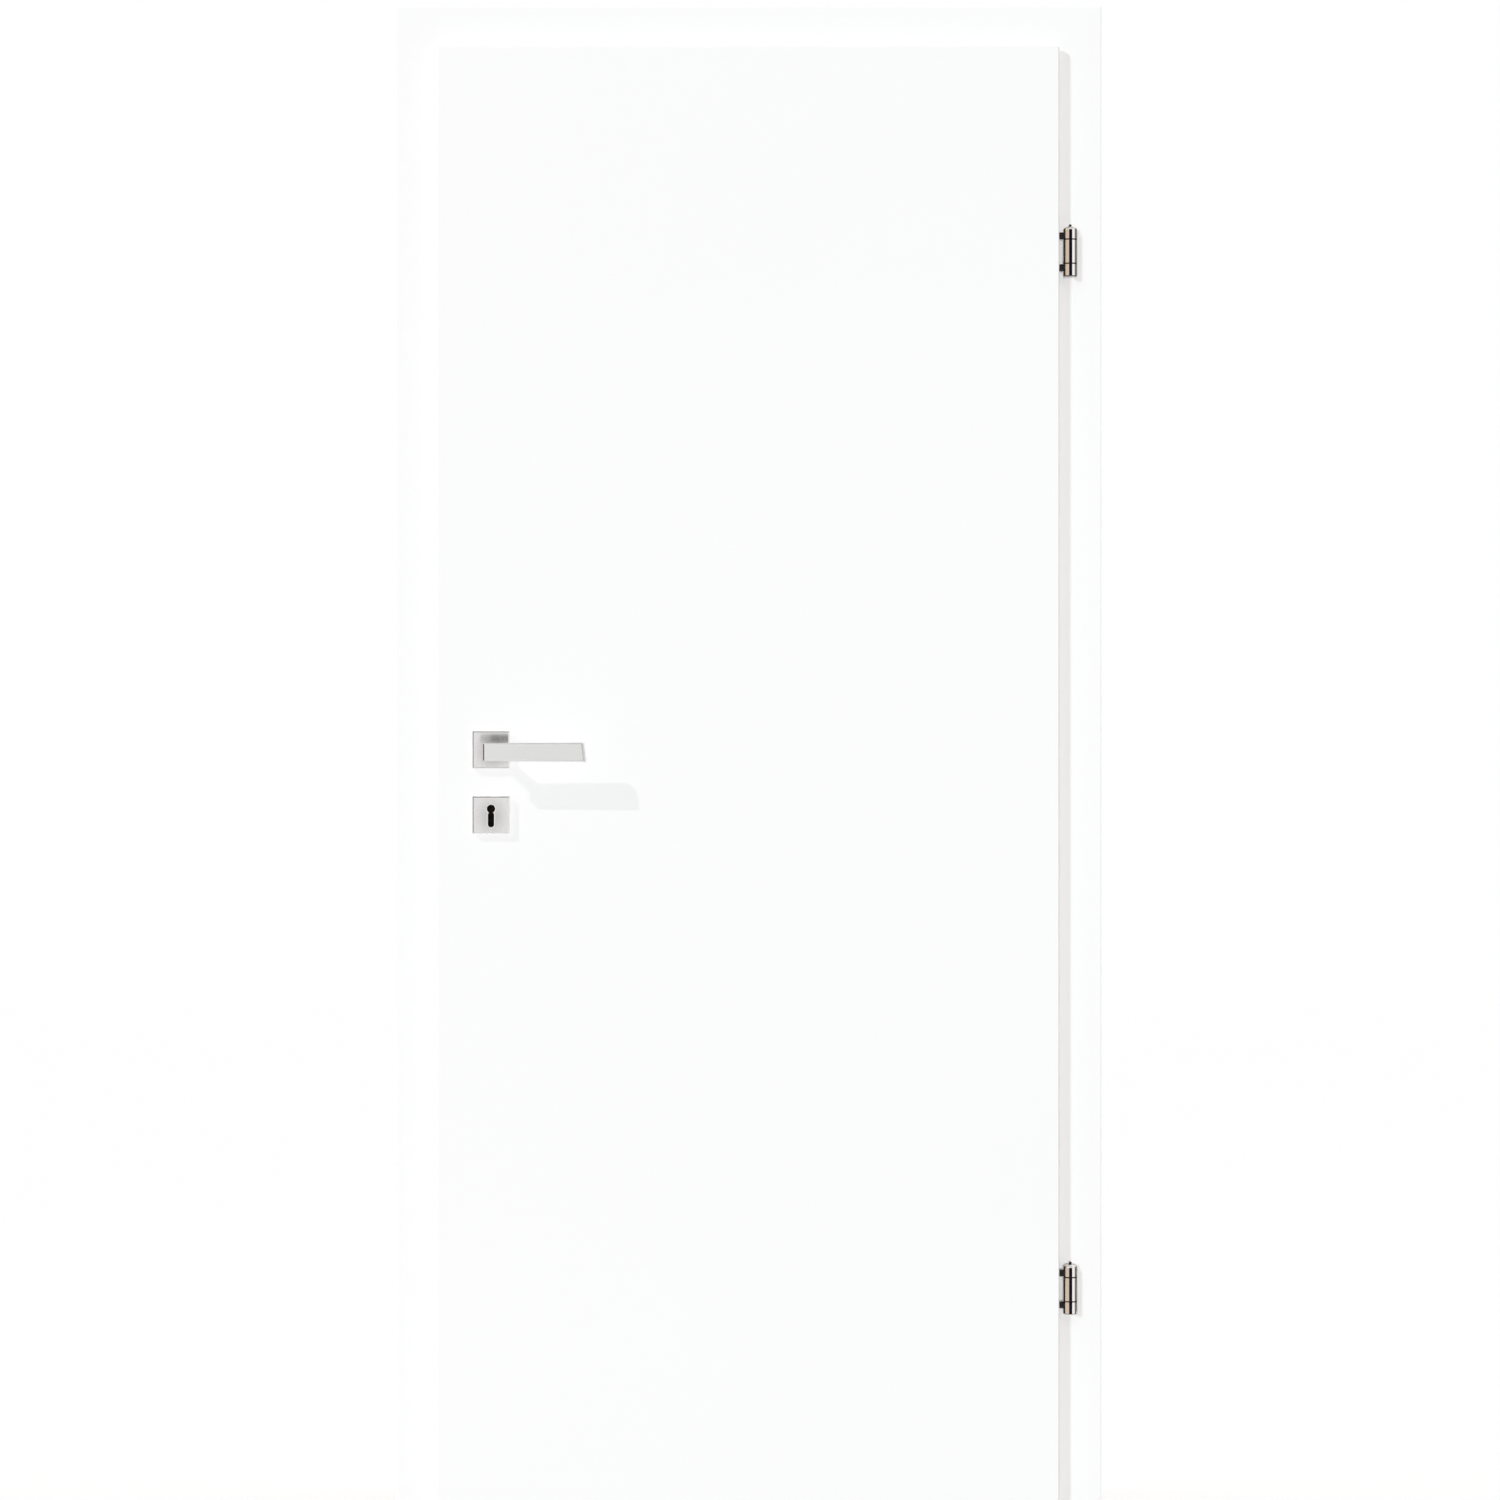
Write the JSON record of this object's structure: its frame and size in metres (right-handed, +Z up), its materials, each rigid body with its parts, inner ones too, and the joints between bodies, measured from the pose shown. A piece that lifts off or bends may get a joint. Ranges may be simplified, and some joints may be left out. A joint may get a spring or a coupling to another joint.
{
  "type": "apartment entrance door",
  "caption": "White flush rebated entrance door in a wooden wrap-around frame, with lever handles, key rosettes and barrel hinges.",
  "frame": {"origin": "foot of the hinge-side jamb, at floor level, on the lining's wall-facing face, in the middle of the wall's thickness", "axes": "+Z up; +X out of the hinge-side lining into the wall, the door lies at negative X; +Y from the room into the wall and out to the stair side"},
  "size_m": [0.98, 0.248, 2.082],
  "materials": {
    "leaf_white": "white lacquer, satin",
    "frame_white": "white lacquer, satin",
    "chipboard": "raw",
    "seal_rubber": "matt",
    "satin_steel": "satin brushed",
    "bright_steel": "polished",
    "zinc_steel": "zinc plated",
    "greased_steel": "blackened and greased",
    "hinge_chrome": "polished"
  },
  "bodies": {
    "frame": {"room_casing_hinge_side": "frame_white", "room_casing_lock_side": "frame_white", "room_casing_head": "frame_white", "lining_hinge_side": "frame_white", "lining_lock_side": "frame_white", "lining_head": "frame_white", "outer_casing_hinge_side": "frame_white", "outer_casing_lock_side": "frame_white", "outer_casing_head": "frame_white", "seal_hinge_side": "seal_rubber", "seal_lock_side": "seal_rubber", "seal_head": "seal_rubber", "strike_plate": "satin_steel", "upper_hinge_frame_knuckle": "hinge_chrome", "upper_hinge_pin": "hinge_chrome", "lower_hinge_frame_knuckle": "hinge_chrome", "lower_hinge_pin": "hinge_chrome"},
    "leaf": {"leaf_room_face": "leaf_white", "leaf_outer_face": "leaf_white", "leaf_hinge_stile": "leaf_white", "leaf_lock_stile": "leaf_white", "leaf_top_rail": "leaf_white", "leaf_bottom_rail": "leaf_white", "leaf_core": "chipboard", "latch_bolt": "bright_steel", "dead_bolt": "bright_steel", "lock_faceplate": "satin_steel", "lock_case": "zinc_steel", "room_lever_rosette": "satin_steel", "room_key_rosette": "satin_steel", "outer_lever_rosette": "satin_steel", "outer_key_rosette": "satin_steel", "lock_levers": "greased_steel", "upper_hinge_top_knuckle": "hinge_chrome", "upper_hinge_bottom_knuckle": "hinge_chrome", "lower_hinge_top_knuckle": "hinge_chrome", "lower_hinge_bottom_knuckle": "hinge_chrome"},
    "lever": {"room_lever": "satin_steel", "outer_lever": "satin_steel", "spindle": "zinc_steel", "lock_follower": "zinc_steel"}
  },
  "joints": [
    {"name": "leaf_swing", "type": "hinge", "parent": "frame", "child": "leaf", "pos_m": [0.0165, -0.101, 1], "axis": [0, 0, 1], "range_deg": [0, 175]},
    {"name": "lever_turn", "type": "hinge", "parent": "leaf", "child": "lever", "pos_m": [-0.784, -0.08, 1.05], "axis": [0, 1, 0], "range_deg": [0, 40], "stiffness_Nm_per_rad": 1.5, "springref_deg": -28.65}
  ]
}
